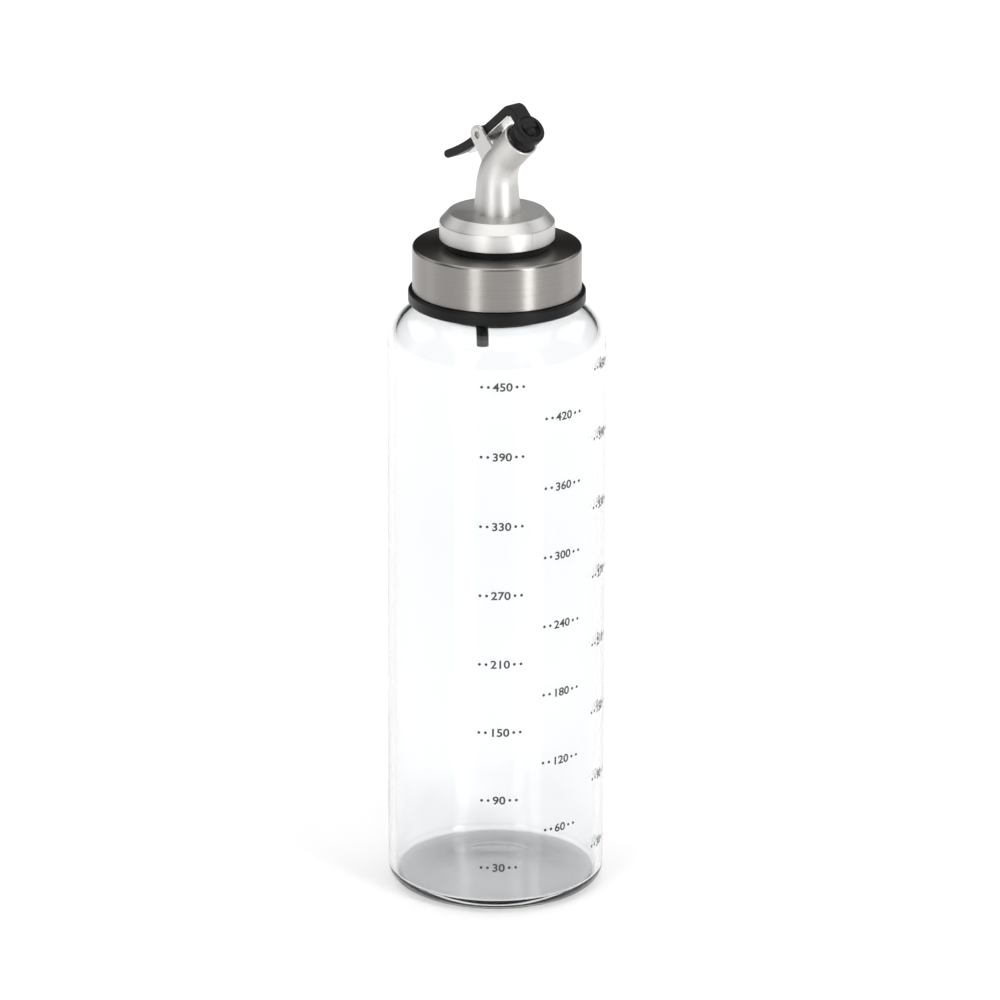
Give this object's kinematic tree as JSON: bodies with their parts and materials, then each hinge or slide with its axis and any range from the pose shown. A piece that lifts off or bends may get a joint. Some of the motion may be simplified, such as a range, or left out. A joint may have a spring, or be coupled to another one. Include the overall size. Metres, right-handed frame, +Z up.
{
  "type": "oil bottle with lever pourer",
  "caption": "Clear glass oil bottle with a steel screw cap, a stopper cork and an angled pouring spout closed by a spring lever.",
  "frame": {"origin": "middle of the bottle's foot, on the surface it stands on", "axes": "+Z up along the bottle's axis, +X the way the spout points, lever pin along Y"},
  "size_m": [0.064, 0.064, 0.2403],
  "materials": {
    "glass": "clear, polished",
    "shell_steel": "brushed, lines round the cap",
    "cap_plastic": "moulded black",
    "black_rubber": "soft black",
    "clear_liner": "soft, translucent white",
    "satin_metal": "satin silver",
    "pin_steel": "drawn",
    "lever_plastic": "charcoal, fine grain",
    "spring_steel": "bright strip"
  },
  "bodies": {
    "bottle": {"glass_bottle": "glass"},
    "seal": {"neck_seal": "clear_liner"},
    "cap": {"cap_sleeve": "shell_steel", "cap_insert": "cap_plastic", "cap_ring": "cap_plastic"},
    "cork": {"stopper_cork": "black_rubber"},
    "pourer": {"base_collar": "satin_metal", "spout": "satin_metal", "vent_tube": "cap_plastic", "pivot_pin": "pin_steel"},
    "lever": {"lever": "lever_plastic", "stopper_plug": "black_rubber", "lever_spring": "spring_steel"}
  },
  "joints": [
    {"name": "cap_lift", "type": "slide", "parent": "bottle", "child": "seal", "axis": [0, 0, 1], "range_m": [0, 0.005]},
    {"name": "cap_turn", "type": "hinge", "parent": "seal", "child": "cap", "pos_m": [0, 0, 0.185], "axis": [0, 0, 1], "range_deg": [0, 450]},
    {"name": "cork_pull", "type": "slide", "parent": "cap", "child": "cork", "axis": [0, 0, 1], "range_m": [0, 0.04]},
    {"name": "pourer_swivel", "type": "hinge", "parent": "cork", "child": "pourer", "pos_m": [0, 0, 0.2], "axis": [0, 0, 1], "continuous": true},
    {"name": "lever_pivot", "type": "hinge", "parent": "pourer", "child": "lever", "pos_m": [-0.00445, 0, 0.22947], "axis": [0, -1, 0], "range_deg": [0, 30], "stiffness_Nm_per_rad": 0.03, "springref_deg": -28.65, "deforming": ["lever_spring"]}
  ],
  "couplings": [
    {"joint": "cap_lift", "follows": "cap_turn", "m_per_rad": 0.00063662}
  ]
}
